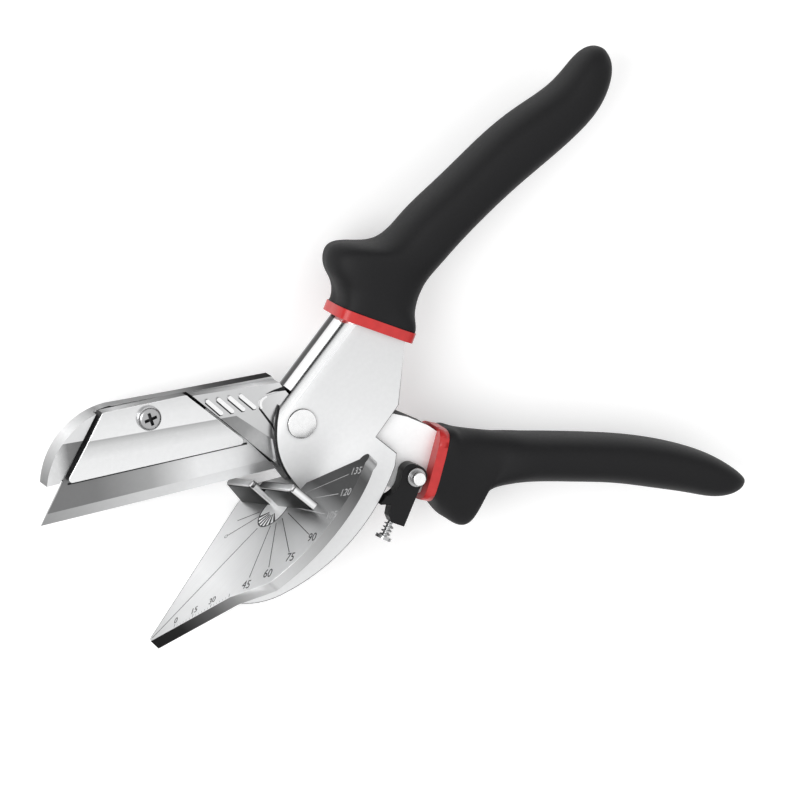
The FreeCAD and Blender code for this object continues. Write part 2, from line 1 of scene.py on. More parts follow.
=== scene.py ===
# %% [markdown]
# # A hand-held mitre shear, dressed for its picture
# Two levers cross at a rivet. One carries a trapezoid blade under a screwed plate, the other a fan-shaped
# table engraved like a protractor. The solid model gives every form and every moving body, so this file adds
# what the solids lack: worn edges, engraved lines, numerals, surface finishes with painted light and shade,
# painted shadows and highlights, a floor, light and a camera.
# Blender counts in metres, and a piece that is made here is drawn in the same frame as the solids. A workshop
# drawing counts in millimetres, so the measures below are millimetres and are multiplied by MM where they are used.

# %% Load the solid model
import bmesh
import bpy
import math
from mathutils import Matrix, Vector


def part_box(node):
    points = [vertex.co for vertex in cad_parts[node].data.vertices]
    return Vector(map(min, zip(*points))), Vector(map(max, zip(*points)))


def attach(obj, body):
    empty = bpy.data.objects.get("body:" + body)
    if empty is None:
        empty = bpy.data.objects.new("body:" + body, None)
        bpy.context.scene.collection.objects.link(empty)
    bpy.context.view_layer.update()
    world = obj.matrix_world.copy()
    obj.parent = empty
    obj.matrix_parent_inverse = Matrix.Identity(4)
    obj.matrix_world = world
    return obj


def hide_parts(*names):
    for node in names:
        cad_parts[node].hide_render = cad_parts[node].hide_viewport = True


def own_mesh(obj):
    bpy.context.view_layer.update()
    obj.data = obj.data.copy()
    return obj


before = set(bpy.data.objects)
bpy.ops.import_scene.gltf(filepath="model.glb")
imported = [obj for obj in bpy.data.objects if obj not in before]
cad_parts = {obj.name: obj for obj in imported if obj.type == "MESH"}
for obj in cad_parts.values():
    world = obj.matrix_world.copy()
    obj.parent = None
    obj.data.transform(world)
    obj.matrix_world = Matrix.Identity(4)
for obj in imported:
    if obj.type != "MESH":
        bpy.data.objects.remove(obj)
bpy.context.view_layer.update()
MM = 0.001
print("nodes:", len(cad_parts))

# %% [markdown]
# ## The camera
# A long lens keeps parallel edges nearly parallel, as in a catalogue picture. The camera looks down steeply and is
# rolled, so the tool lies aslant in the frame. Angles for that would take trial and error, so three unit vectors say
# what is right, what is up and what points back to the camera. They become the columns of the camera's matrix.

# %% Camera
PIVOT = Vector((20.2, 11.6, 0.0)) * MM
RIGHT = Vector((0.6700, -0.6470, 0.3655)).normalized()
ROUGHLY_UP = Vector((0.7400, 0.6410, -0.2113))
BACK = RIGHT.cross(ROUGHLY_UP).normalized()
UP = BACK.cross(RIGHT)
AIM_RIGHT, AIM_UP = 26.26, 4.32         # from the pivot to the middle of the picture
VIEW_WIDTH = 195.1 * MM
LENS, SENSOR = 250.0, 36.0

aim = PIVOT + (AIM_RIGHT * RIGHT + AIM_UP * UP) * MM
distance = VIEW_WIDTH * LENS / SENSOR
camera_data = bpy.data.cameras.new("catalogue_camera")
camera_data.lens = LENS
camera_data.sensor_width = SENSOR
camera_data.clip_start, camera_data.clip_end = 0.05, 20.0
camera = bpy.data.objects.new("catalogue_camera", camera_data)
bpy.context.scene.collection.objects.link(camera)
turn = Matrix((RIGHT, UP, BACK)).transposed().to_4x4()
camera.matrix_world = Matrix.Translation(aim + BACK * distance) @ turn
bpy.context.scene.camera = camera
print("camera stands off %.2f m" % distance)

# %% [markdown]
# ## The floor
# The floor is one plain square, far larger than the tool, so no edge of it comes into the picture. It is pale and
# glows a little, like the light table that catalogues use to lift the shadows.

# %% Floor
FLOOR_LEVEL = -17.3 * MM
FLOOR_HALF = 2.5
FLOOR_GLOW = 0.22
FLOOR_FINISH = {"Base Color": (0.95, 0.95, 0.95, 1.0), "Roughness": 0.9, "Specular IOR Level": 0.1,
                "Emission Color": (1.0, 1.0, 1.0, 1.0), "Emission Strength": FLOOR_GLOW}

corners = [(FLOOR_HALF * x, FLOOR_HALF * y, FLOOR_LEVEL) for x, y in ((-1, -1), (1, -1), (1, 1), (-1, 1))]
floor_mesh = bpy.data.meshes.new("floor")
floor_mesh.from_pydata(corners, [], [(0, 1, 2, 3)])
floor = bpy.data.objects.new("floor", floor_mesh)
bpy.context.scene.collection.objects.link(floor)
pale_floor = bpy.data.materials.new("pale_floor")
pale_floor.use_nodes = True
for socket, value in FLOOR_FINISH.items():
    pale_floor.node_tree.nodes["Principled BSDF"].inputs[socket].default_value = value
floor_mesh.materials.append(pale_floor)
print("floor at %.1f mm" % (FLOOR_LEVEL / MM))

# %% [markdown]
# ## What the steel mirrors
# Polished steel shows what surrounds it and little else, so a picture of it is made by its surroundings. A bright
# dome overhead gives the near-white faces. A dark band low on the horizon is what every rounded fold mirrors as a
# thin dark streak, and without it a fold can't be seen. A panorama image could be the dome, but a colour ramp over
# the height is enough and has no pixels. Only what the steel mirrors comes from it: seen directly, the studio's
# wall is plain and pale.

# %% Dome and wall
DOME = [(0.00, 0.03), (0.27, 0.05), (0.42, 0.75), (0.70, 1.0), (1.0, 1.0)]     # height on the dome, brightness
DOME_STRENGTH = 1.0
WALL = (0.93, 0.93, 0.93, 1.0)


def fill_ramp(ramp, stops):
    """Give a colour ramp its greys; a stop is a place from 0 to 1 and a brightness."""
    while len(ramp.elements) < len(stops):
        ramp.elements.new(0.5)
    for element, (place, bright) in zip(ramp.elements, stops):
        element.position = place
        element.color = (bright, bright, bright, 1.0)


world = bpy.data.worlds.new("studio_dome")
bpy.context.scene.world = world
world.use_nodes = True
nodes, links = world.node_tree.nodes, world.node_tree.links
where = nodes.new("ShaderNodeTexCoord")
split = nodes.new("ShaderNodeSeparateXYZ")
ramp = nodes.new("ShaderNodeValToRGB")
fill_ramp(ramp.color_ramp, DOME)
links.new(where.outputs["Generated"], split.inputs["Vector"])
links.new(split.outputs["Z"], ramp.inputs["Fac"])
links.new(ramp.outputs["Color"], nodes["Background"].inputs["Color"])
nodes["Background"].inputs["Strength"].default_value = DOME_STRENGTH
wall = nodes.new("ShaderNodeBackground")
wall.inputs["Color"].default_value = WALL
ray = nodes.new("ShaderNodeLightPath")
either = nodes.new("ShaderNodeMixShader")
links.new(ray.outputs["Is Camera Ray"], either.inputs["Fac"])
links.new(nodes["Background"].outputs["Background"], either.inputs[1])
links.new(wall.outputs["Background"], either.inputs[2])
links.new(either.outputs["Shader"], nodes["World Output"].inputs["Surface"])
print("dome with %d stops, strength %.2f" % (len(DOME), DOME_STRENGTH))

# %% [markdown]
# ## The lamp
# The dome lights every side alike, which would leave the rubber and the red plastic flat. One large soft disc of
# light from the upper left gives them a side. A small lamp would do it with hard shadows, so this one is wide.

# %% Lamp
KEY_PLACE = Vector((-0.55, 0.75, 0.95))
KEY_WIDE, KEY_WATTS = 0.8, 8.0

lamp = bpy.data.lights.new("key_light", "AREA")
lamp.shape = "DISK"
lamp.size = KEY_WIDE
lamp.energy = KEY_WATTS
key_light = bpy.data.objects.new("key_light", lamp)
bpy.context.scene.collection.objects.link(key_light)
key_light.location = KEY_PLACE
key_light.rotation_mode = "QUATERNION"
key_light.rotation_quaternion = (PIVOT - KEY_PLACE).to_track_quat("-Z", "Y")
bpy.context.scene.view_settings.view_transform = "Standard"
bpy.context.scene.view_settings.look = "None"
print("lamp of %.0f W, %.2f m from the pivot" % (KEY_WATTS, (PIVOT - KEY_PLACE).length))

# %% [markdown]
# ## Brightness along an axis
# One end of a long face mirrors a lighter part of the workshop than the other, and other parts shade it here and
# there, so a painted reflection and a painted shade go into its colour. Paint on the corners of the mesh could carry
# that, but it needs many corners. A ramp along one axis of the tool needs none: the dot product with the axis says
# how far along a spot lies, and a colour ramp turns that into a painted brightness.

# %% Helper: a ramp along an axis
def graded(tree, where, tint, axis, stops):
    """The colour times a ramp along an axis; a stop is a distance in millimetres and a brightness."""
    first, last = stops[0][0], stops[-1][0]
    along = tree.nodes.new("ShaderNodeVectorMath")
    along.operation = "DOT_PRODUCT"
    along.inputs[1].default_value = axis
    span = tree.nodes.new("ShaderNodeMapRange")
    span.inputs["From Min"].default_value = first * MM
    span.inputs["From Max"].default_value = last * MM
    ramp = tree.nodes.new("ShaderNodeValToRGB")
    fill_ramp(ramp.color_ramp, [((place - first) / (last - first), bright) for place, bright in stops])
    times = tree.nodes.new("ShaderNodeMix")
    times.data_type = "RGBA"
    times.blend_type = "MULTIPLY"
    times.inputs["Factor"].default_value = 1.0
    tree.links.new(where.outputs["Object"], along.inputs[0])
    tree.links.new(along.outputs["Value"], span.inputs["Value"])
    tree.links.new(span.outputs["Result"], ramp.inputs["Fac"])
    tree.links.new(tint.outputs["Color"], times.inputs["A"])
    tree.links.new(ramp.outputs["Color"], times.inputs["B"])
    return times.outputs["Result"]


print("helper made: graded")

# %% [markdown]
# ## How a finish is made
# Sheet steel that has been rolled, polished and plated still keeps faint streaks along one direction. A noise
# texture that is stretched along that direction gives them. It drives the roughness, a very small bump and a slight
# change of colour. An image would do too, but noise has no size limit and no seams. What is the same everywhere,
# such as metallic, is set straight on the shader. The first two finishes are made here, because many pieces share
# them: the bright steel of a worn edge, which is also a painted highlight, and the black of painted shade in a gap
# that no light reaches.

# %% Helper: a finish, and two that are shared
STREAK_DEEP = 0.05                      # the relief's distance
TINT_FROM, TINT_TO = 0.35, 0.70         # where the noise starts and ends to lighten the colour


def finish(name, colour, rough, metallic=1.0, spread=0.05, scale=900.0, stretch=(1.0, 1.0, 1.0), bump=0.04,
           shade=0.06, settings=(), grade=None):
    """A material whose roughness, colour and relief vary a little with a stretched noise.

    spread is how far the roughness strays either way and shade how much darker the colour gets. settings are more
    sockets of the shader with their values, and grade is the axis and the stops of a ramp of painted light and shade.
    """
    material = bpy.data.materials.new(name)
    material.use_nodes = True
    tree = material.node_tree
    shader = tree.nodes["Principled BSDF"]
    shader.inputs["Metallic"].default_value = metallic
    for socket, value in settings:
        shader.inputs[socket].default_value = value
    where = tree.nodes.new("ShaderNodeTexCoord")
    mapping = tree.nodes.new("ShaderNodeMapping")
    mapping.inputs["Scale"].default_value = stretch
    noise = tree.nodes.new("ShaderNodeTexNoise")
    noise.inputs["Scale"].default_value = scale
    noise.inputs["Detail"].default_value = 3.0
    roughness = tree.nodes.new("ShaderNodeMapRange")
    roughness.inputs["To Min"].default_value = max(0.02, rough - spread)
    roughness.inputs["To Max"].default_value = rough + spread
    tint = tree.nodes.new("ShaderNodeValToRGB")
    darker, lighter = tint.color_ramp.elements
    darker.position, lighter.position = TINT_FROM, TINT_TO
    darker.color = [c * (1.0 - shade) for c in colour] + [1.0]
    lighter.color = list(colour) + [1.0]
    relief = tree.nodes.new("ShaderNodeBump")
    relief.inputs["Strength"].default_value = bump
    relief.inputs["Distance"].default_value = STREAK_DEEP * MM
    tree.links.new(where.outputs["Object"], mapping.inputs["Vector"])
    tree.links.new(mapping.outputs["Vector"], noise.inputs["Vector"])
    tree.links.new(noise.outputs["Fac"], roughness.inputs["Value"])
    tree.links.new(roughness.outputs["Result"], shader.inputs["Roughness"])
    tree.links.new(noise.outputs["Fac"], tint.inputs["Fac"])
    colour_from = graded(tree, where, tint, *grade) if grade else tint.outputs["Color"]
    tree.links.new(colour_from, shader.inputs["Base Color"])
    tree.links.new(noise.outputs["Fac"], relief.inputs["Height"])
    tree.links.new(relief.outputs["Normal"], shader.inputs["Normal"])
    return material


def glancing(tint):
    """The setting that keeps a dark steel dark when it is seen at a glancing angle."""
    return (("Specular Tint", (tint, tint, tint, 1.0)),)


def dielectric(level):
    """The setting for how strongly a surface that isn't metal mirrors."""
    return (("Specular IOR Level", level),)


def tell(*materials):
    print("finishes:", ", ".join(material.name for material in materials))


STEEL, BRIGHT_STEEL, SATIN_STEEL = (0.90, 0.905, 0.91), (0.92, 0.925, 0.93), (0.93, 0.935, 0.94)
# the bright steel of a worn edge doubles as a painted highlight, and the black is painted shade
wear_and_highlight = finish("worn_edge_and_painted_highlight", (0.97, 0.972, 0.975), 0.22, spread=0.03)
painted_shade = finish("painted_shade_black", (0.012, 0.012, 0.013), 0.5, metallic=0.0, settings=dielectric(0.2))
tell(wear_and_highlight, painted_shade)

# %% [markdown]
# ## Finishes of the folded channel
# The channel is polished sheet. Its flat sides are bright and soft, with a ramp of painted reflection along them,
# its folds mirror like a rounded rail, its sheared edges are painted nearly black as shade, and its inside is
# painted darker as shade. The fold's ramp runs across the web and paints in the dark streaks that a rounded fold
# shows where it mirrors the horizon.

# %% Channel finishes
# the flat sides' ramp is a painted reflection, and the fold's ramp paints the dark streaks of the horizon
polished = finish("polished_plated_steel", STEEL, 0.42, metallic=0.35, spread=0.03, bump=0.01, shade=0.03,
                  grade=((0.9, 0.4, 0.0), [(-40.0, 0.93), (-8.0, 0.97), (20.0, 1.0), (32.0, 0.86), (50.0, 0.75)]))
folded = finish("polished_fold", BRIGHT_STEEL, 0.14, spread=0.03, bump=0.01, shade=0.03,
                grade=((0.0, 0.0, 1.0), [(-6.5, 0.30), (-3.0, 0.30), (-1.6, 0.06), (-1.2, 0.02), (0.4, 0.02),
                                         (0.8, 0.85), (2.0, 1.0), (6.5, 1.0)]))
# the sheared edges are painted nearly black and the inside darker, both as painted shade
painted_edge_shade = finish("sheared_edge_painted_shade", (0.030, 0.030, 0.032), 0.38, metallic=0.0)
painted_inside_shade = finish("channel_inside_painted_shade", (0.30, 0.302, 0.305), 0.45, metallic=0.5, spread=0.05)
tell(polished, folded, painted_edge_shade, painted_inside_shade)

# %% [markdown]
# ## Finishes of the table and its fences
# The fan's face is brushed along its length, so the noise is stretched that way, and a painted shade darkens it
# towards the pivot, where the lever shades it. Its rim is burnished, and the tones that a burnished rim mirrors as
# it turns are painted along it. The fences stand on the face: their fronts look away from the light and carry a
# painted shade, their tops carry a painted reflection, and their ends are rounded, with a painted highlight along
# the middle.

# %% Table and fence finishes
FENCE_THROUGH = (0.9744, 0.0, -0.2250)  # through the fences, from their fronts to their backs

# the face's ramp is painted shade and reflection, darkest towards the pivot
face_steel = finish("brushed_table_face", SATIN_STEEL, 0.32, stretch=(0.05, 1.0, 1.0), spread=0.05, scale=2200.0,
                    bump=0.03, shade=0.04, settings=glancing(0.5),
                    grade=((1.0, 0.0, 0.0), [(-44.0, 0.62), (-34.0, 0.82), (-22.0, 1.0), (-8.0, 0.86), (0.0, 0.64),
                                             (6.0, 0.56), (12.0, 0.12), (17.0, 0.12), (24.0, 0.08)]))
# the rim's ramp is painted reflection
rim_steel = finish("burnished_table_rim", STEEL, 0.34, metallic=0.6, spread=0.03, bump=0.01, shade=0.03,
                   grade=((1.0, 0.0, 0.0), [(-44.0, 0.01), (-36.0, 0.02), (-28.0, 0.15), (-23.0, 0.35), (-18.5, 0.78),
                                            (-15.1, 0.95), (-14.6, 0.74), (-10.0, 0.64),
                                            (4.0, 0.36), (15.0, 0.16), (19.0, 0.16), (21.0, 0.35), (25.0, 0.5)]))
serrated = finish("satin_hub_steel", (0.95, 0.955, 0.96), 0.34, metallic=0.5)
# the fronts' ramp is painted shade, and the tops' ramp painted reflection
fence_front = finish("dark_fence_front", STEEL, 0.34, spread=0.04, settings=glancing(0.35),
                     grade=((0.0, 0.0, 1.0), [(-15.6, 0.30), (-8.0, 0.17), (-1.0, 0.10), (2.2, 0.85), (7.0, 0.50),
                                              (12.0, 0.14), (21.0, 0.10)]))
fence_top = finish("polished_fence_top", STEEL, 0.30, spread=0.04, settings=glancing(0.5),
                   grade=((0.0, 0.0, 1.0), [(-15.6, 0.30), (-10.0, 0.45), (-3.0, 0.85), (1.0, 0.03), (7.0, 0.12),
                                            (12.0, 0.42), (18.5, 0.90)]))
# the ends' ramp is a painted highlight along the middle, between darker sides
fence_edge = finish("bright_fence_edge", (0.96, 0.962, 0.965), 0.30, metallic=0.7, spread=0.02, bump=0.01, shade=0.02,
                    grade=(FENCE_THROUGH, [(1.2, 0.20), (1.55, 0.62), (2.1, 1.0), (2.5, 0.95), (3.0, 0.45),
                                           (3.5, 0.12)]))
tell(face_steel, rim_steel, serrated, fence_front, fence_top, fence_edge)

# %% [markdown]
# ## Finishes of the blade lever
# The lever is cast and then worked face by face, so each face has a finish of its own, and each carries its own
# ramp of painted light and shade. The ramps are measured from the pivot along the lever as it lies open. The clamp
# plate is pressed with a crease along its length, so its ramp of painted reflection runs square to that crease and
# jumps there.

# %% Lever finishes
LEVER_X = (0.8192, -0.5736, 0.0)        # along the blade lever, from the tip back to the grip, at rest
LEVER_UP = (0.6337, 0.7738, 0.0)        # square to the crease that crosses the clamp plate
PIVOT_ON_LEVER = Vector(LEVER_X).dot(PIVOT) / MM


def on_lever(stops):
    """Stops given from the pivot, along the blade lever."""
    return LEVER_X, [(place + PIVOT_ON_LEVER, bright) for place, bright in stops]


# the near face's ramp is painted reflection
cast = finish("satin_lever_face", SATIN_STEEL, 0.30, spread=0.03, scale=1400.0, bump=0.012, shade=0.02,
              grade=on_lever([(-66.0, 0.90), (-54.0, 0.80), (-45.0, 0.90), (-29.0, 0.66), (-20.0, 0.68), (-8.0, 0.70),
                              (2.0, 0.9), (12.0, 1.0)]))
shank_face = finish("bright_shank_face", (0.97, 0.972, 0.975), 0.40, metallic=0.3, spread=0.03, bump=0.01, shade=0.03)
# the tall sides carry a ramp of painted shade and reflection
cast_side = finish("lever_side_painted_shade", BRIGHT_STEEL, 0.34, metallic=0.6, spread=0.04, bump=0.02,
                   grade=on_lever([(-66.0, 0.08), (-63.5, 0.36), (-57.0, 1.0), (-51.0, 0.58), (-48.5, 0.30),
                                   (-45.0, 0.70), (-38.0, 0.36), (-28.5, 0.18), (-27.0, 0.10), (-18.0, 0.50),
                                   (-9.0, 1.0), (4.0, 0.06)]), settings=glancing(0.45))
# the back is painted darker still, as shade
cast_back = finish("dark_lever_back", STEEL, 0.34, spread=0.05, settings=glancing(0.35),
                   grade=on_lever([(-66.0, 0.06), (-57.0, 0.90), (-45.0, 0.50), (-28.0, 0.45), (-20.0, 0.16),
                                   (-8.0, 0.07), (4.0, 0.04)]))
# the nose below the crease is painted darker as shade
nose_dark = finish("nose_below_crease", STEEL, 0.26, spread=0.04,
                   grade=on_lever([(-66.0, 0.95), (-61.0, 0.80), (-58.0, 0.26), (-52.0, 0.15)]))
# the sloping facet's ramp is painted shade
sunk = finish("sloping_facet", STEEL, 0.30, spread=0.04,
              grade=((0.0, 1.0, 0.0), [(6.0, 1.0), (12.0, 1.0), (17.0, 0.66), (20.0, 0.42), (27.0, 0.28)]))
# the plate's ramp is painted reflection that jumps at the crease
plate = finish("bright_clamp_plate", (0.91, 0.915, 0.92), 0.22, spread=0.03, bump=0.01, shade=0.03,
               grade=(LEVER_UP, [(17.0, 0.98), (21.0, 0.94), (24.0, 0.74), (25.72, 0.50), (25.85, 0.96),
                                 (29.0, 0.92), (33.0, 0.80)]))
tell(cast, shank_face, cast_side, cast_back, nose_dark, sunk, plate)

# %% [markdown]
# ## Finishes of the blade and the small metal parts
# A utility blade is ground grey and honed bright along its edge, and a ramp of painted reflection darkens both
# towards the tip. Screws and pins are plated with zinc or turned bright, the springs are drawn wire and the bush is
# brass, because brass runs well on steel. They are too small for a ramp, so their colour and roughness have to tell
# them apart.

# %% Blade and fastener finishes
# the blade's ramps are painted reflection, darker towards the tip
ground = finish("ground_blade_flank", (0.94, 0.945, 0.95), 0.42, spread=0.03, bump=0.01, shade=0.03,
                grade=on_lever([(-68.0, 0.22), (-52.0, 0.24), (-38.0, 0.44), (-26.0, 0.96), (-16.0, 1.0), (-8.0, 1.0)]))
honed = finish("honed_blade_bevel", BRIGHT_STEEL, 0.36, spread=0.03, bump=0.01, shade=0.03,
               grade=on_lever([(-68.0, 0.36), (-55.0, 0.50), (-40.0, 0.72), (-20.0, 0.90), (-8.0, 0.95)]))
zinc = finish("zinc_fastener", (0.46, 0.46, 0.465), 0.27, spread=0.06)
plunger_steel = finish("bright_plunger", (0.50, 0.505, 0.51), 0.24, metallic=0.85, spread=0.04, bump=0.01)
recess = finish("shadowed_recess", (0.05, 0.05, 0.052), 0.4)
turned = finish("bright_turned_pin", (0.86, 0.865, 0.87), 0.12, spread=0.03)
wire = finish("spring_wire", (0.66, 0.665, 0.67), 0.22)
brass = finish("bush_brass", (0.72, 0.55, 0.27), 0.28)
tell(ground, honed, zinc, plunger_steel, recess, turned, wire, brass)

# %% [markdown]
# ## Rubber, red collars, the black latch and the marks
# The grips are matte rubber: nearly black, with a fine pimpled skin that spreads any highlight wide. The collars
# are glossy moulded plastic, whose clear skin is a coat over the red. The latch is a satin black moulding. The marks
# of the scale are matt: etched dark on the bright part of the table and pale on the dark part.

# %% Plastics, rubber and marks
rubber = finish("matte_grip_rubber", (0.009, 0.009, 0.010), 0.60, metallic=0.0, spread=0.08, scale=1600.0, bump=0.25,
                shade=0.25, settings=dielectric(0.25))
red = finish("glossy_red_collar", (0.58, 0.032, 0.032), 0.32, metallic=0.0, spread=0.04, scale=500.0, bump=0.03,
             shade=0.12, settings=dielectric(0.3) + (("Coat Weight", 0.15), ("Coat Roughness", 0.15)))
black = finish("satin_black_latch", (0.006, 0.006, 0.007), 0.38, metallic=0.0, spread=0.06, scale=1300.0, bump=0.08,
               shade=0.2, settings=dielectric(0.25))
etched_and_shade = finish("etched_mark_and_painted_shade", (0.05, 0.05, 0.052), 0.6, metallic=0.0, spread=0.05, bump=0.0, shade=0.1,
                settings=dielectric(0.2))
pale_mark = finish("pale_scale_mark", (0.42, 0.42, 0.425), 0.5, metallic=0.0, spread=0.05, bump=0.0, shade=0.1)
tell(rubber, red, black, etched_and_shade, pale_mark)

# %% [markdown]
# ## Whole faces
# The solids come as triangles, and a flat side of the tool may be hundreds of them. A side has to be one face before
# its edges can be broken or a finish can be chosen for it. Limited Dissolve joins triangles that lie in one plane.
# The mesh of the solid model isn't touched: a new mesh is made from it.

# %% Helper: triangles joined into whole faces
WELD = 0.002                            # corners closer than this become one
FLAT = 0.4                              # degrees between triangles that still count as one plane


def link(name, mesh, *materials):
    """A new piece that shows the mesh."""
    piece = bpy.data.objects.new(name, mesh)
    bpy.context.scene.collection.objects.link(piece)
    for material in materials:
        mesh.materials.append(material)
    return piece


def whole_faces(node, split=None):
    """The node's mesh with its flat triangles joined into whole faces, parted at a plane if one is given."""
    work = bmesh.new()
    work.from_mesh(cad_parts[node].data)
    bmesh.ops.remove_doubles(work, verts=work.verts, dist=WELD * MM)
    bmesh.ops.dissolve_limit(work, angle_limit=math.radians(FLAT), verts=work.verts, edges=work.edges)
    if split:
        parts = work.verts[:] + work.edges[:] + work.faces[:]
        bmesh.ops.bisect_plane(work, geom=parts, plane_co=split[0], plane_no=split[1])
    work.verts.index_update()
    spots = [vert.co.copy() for vert in work.verts]
    faces = [[vert.index for vert in face.verts] for face in work.faces]
    work.free()
    mesh = bpy.data.meshes.new(node + "_surface")
    mesh.from_pydata(spots, [], faces)
    mesh.update()
    return mesh


print("triangles in the solids:", sum(len(solid.data.polygons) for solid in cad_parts.values()))

# %% [markdown]
# ## Edges that catch the light
# A sharp edge on a computer model is invisible, while the edge of a stamped or ground part is broken by a tenth or
# two of a millimetre and shows as a bright line. A Bevel modifier gives that line along every edge that is sharper
# than a limit, so smooth curves stay as they are. The new piece then stands in for the solid. Where a piece stands on
# the table, its foot keeps a sharp corner, so there the edges are weighed one by one instead.

# %% Helper: a node with broken edges
SHARP = 28.0                            # degrees; an edge that turns more than this is broken
BREAK = 0.15                            # width of the break


def weigh_edges(mesh, sharp, foot):
    """Give the bevel every sharp edge that is higher than the foot, in millimetres."""
    weights = mesh.attributes.new("bevel_weight_edge", "FLOAT", "EDGE")
    work = bmesh.new()
    work.from_mesh(mesh)
    for edge in work.edges:
        above = max(vert.co.y for vert in edge.verts) > foot * MM
        if above and len(edge.link_faces) == 2 and edge.calc_face_angle() > math.radians(sharp):
            weights.data[edge.index].value = 1.0
    work.free()


def dress(node, body, materials, edge=BREAK, choose=None, bright=False, segments=2, sharp=SHARP, foot=None,
          split=None):
    """A stand-in for the node with broken edges; edge is the width of the break in millimetres.

    choose gives the material of a face. With bright, the breaks take the bright steel of a worn edge, which also
    paints a highlight along them. With foot, the edges that lie on the table keep their sharp corner. With split, a
    plane parts the faces that it crosses.
    """
    mesh = whole_faces(node, split)
    mesh.polygons.foreach_set("use_smooth", [True] * len(mesh.polygons))
    mesh.set_sharp_from_angle(angle=math.radians(sharp))
    piece = link(node + "_finished", mesh, *materials)
    if choose:
        for face in mesh.polygons:
            face.material_index = materials.index(choose(face))
    if foot is not None:
        weigh_edges(mesh, sharp, foot)
    if edge:
        bevel = piece.modifiers.new("broken edges", "BEVEL")
        bevel.width = edge * MM
        bevel.segments = segments
        bevel.limit_method = "ANGLE" if foot is None else "WEIGHT"
        bevel.angle_limit = math.radians(sharp)
        bevel.harden_normals = True
        bevel.use_clamp_overlap = True
        if bright:
            mesh.materials.append(wear_and_highlight)
            bevel.material = len(materials)
    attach(piece, body)
    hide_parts(node)
    print("%-15s %6d faces before its edges are broken" % (node, len(mesh.polygons)))
    return piece


print("edges over %.0f degrees are broken by %.2f mm, unless a piece says otherwise" % (SHARP, BREAK))

# %% [markdown]
# ## The frame lever
# The channel is folded from sheet. Its faces are bright, and the sheared edges of the sheet are painted dark as
# shade, which is what outlines the side plates; its inside is painted darker as shade. Paint masks could part the
# finishes, but each face has just one, so a rule that looks at where a face lies and which way it turns is shorter
# and never misses a face. The normal is the arrow that stands on a face: its part along an axis is 1 or -1 when the
# face looks that way, and 0 when it lies edge on.

# %% Channel
WEB_FROM = 17.0                         # above this, a face that looks up belongs to the web and its folds
INSIDE_HALF, INSIDE_TO = 6.0, 14.0      # between the side plates and below the web


def channel_face(face):
    """Plates polished, sheared edges and inside painted dark as shade; web and folds have their own finish."""
    if face.normal.y > 0.2 and face.normal.x > -0.4 and face.center.y > WEB_FROM * MM:
        return folded
    if abs(face.normal.z) < 0.3:
        return painted_edge_shade
    inside = abs(face.center.z) < INSIDE_HALF * MM and face.center.y < INSIDE_TO * MM
    return painted_inside_shade if inside else polished


dress("frame_channel", "frame", [polished, painted_edge_shade, folded, painted_inside_shade], 0.18, channel_face,
      bright=True)

# %% [markdown]
# ## Table, fences and rivet
# The fan is one thick plate. Its rim runs from the straight nose into an arc at a blunt corner, and a limit of fifty
# degrees keeps the bevel off that corner. The two fences are small plates with well rounded edges, worn by the
# mouldings that are pushed against them, so their break is wide and has four segments. The rivet's head stands on
# the side plate, with its rim painted dark as shade.

# %% Table, fences and rivet
FENCE_ROUND, FENCE_FOOT = 0.8, 0.3      # the fences' rounding, and the height under which an edge stays sharp


def table_face(face):
    return face_steel if abs(face.normal.y) > 0.5 else rim_steel


def fence_face(face):
    if abs(face.normal.x) > 0.9:
        return fence_front
    return fence_top if face.normal.y > 0.5 else fence_edge


def head_or_rim(head, rim):
    """A rule for a pin that stands along Z: one material on its ends and one round it."""
    return lambda face: head if abs(face.normal.z) > 0.5 else rim


dress("mitre_table", "frame", [face_steel, rim_steel], 0.16, table_face, sharp=50.0)
for node in "far_fence", "near_fence":
    dress(node, "frame", [fence_front, fence_top, fence_edge], FENCE_ROUND, fence_face, segments=4,
          foot=FENCE_FOOT)
# the rivet's head is bright steel and its rim is painted dark as shade
dress("pivot_rivet", "frame", [wear_and_highlight, painted_edge_shade], 0.0, head_or_rim(wear_and_highlight, painted_edge_shade))

# %% [markdown]
# ## Grips, collars and latch
# The mouths of the grips and the rims of the collars are moulded with a soft edge of a third to half a millimetre,
# which is kind to the hand. Subdivision would soften the whole shape and lose its size, so the same bevel as on the
# metal pieces does it, only wider and without the bright steel.

# %% Soft mouldings
dress("upper_collar", "frame", [red], 0.35)
dress("upper_grip", "frame", [rubber], 0.5)
dress("lower_collar", "lever", [red], 0.35)
dress("lower_grip", "lever", [rubber], 0.5)
dress("latch_body", "latch", [black], 0.45, segments=3)

# %% [markdown]
# ## The blade lever
# The near faces are satin, and the tall sides left by the casting are painted darker as shade, so the top of the
# holder reads as a dark band. The nose below the crease and the sunk facet behind the clamp have ramps of painted
# shade of their own, and the floor of the pocket and the wall ahead of the boss are painted black as shade.
# Handling keeps the edges bright, and their bright steel, like that on the tops of the ribs, is also a painted
# highlight. The shank shares one long face with the holder, so a plane parts it first.

# %% Blade lever
SHANK_FROM = 9.0                        # these are measured from the pivot along the lever
RIBS_TO, FACET_FROM, STEP_FROM = -8.0, -25.0, -30.0
POCKET_FROM, BACK_FROM, NOSE_TO = -45.0, -46.0, -50.0
CREASE, POCKET_TO = 25.8, 30.0          # and these square to the crease
POCKET_FLOOR, BACK_UNDER, RIB_TOPS = 0.2, 0.3, 4.3      # and these are heights
WALL_UNDER = 0.6                        # a face whose normal rises less than this is a wall


def opened(x, y, z):
    """A spot drawn with the jaws shut, moved to where it lies at rest."""
    along = Vector((LEVER_X[0], LEVER_X[1], 0.0))
    across = Vector((-LEVER_X[1], LEVER_X[0], 0.0))
    return PIVOT + (along * x + across * y + Vector((0.0, 0.0, z))) * MM


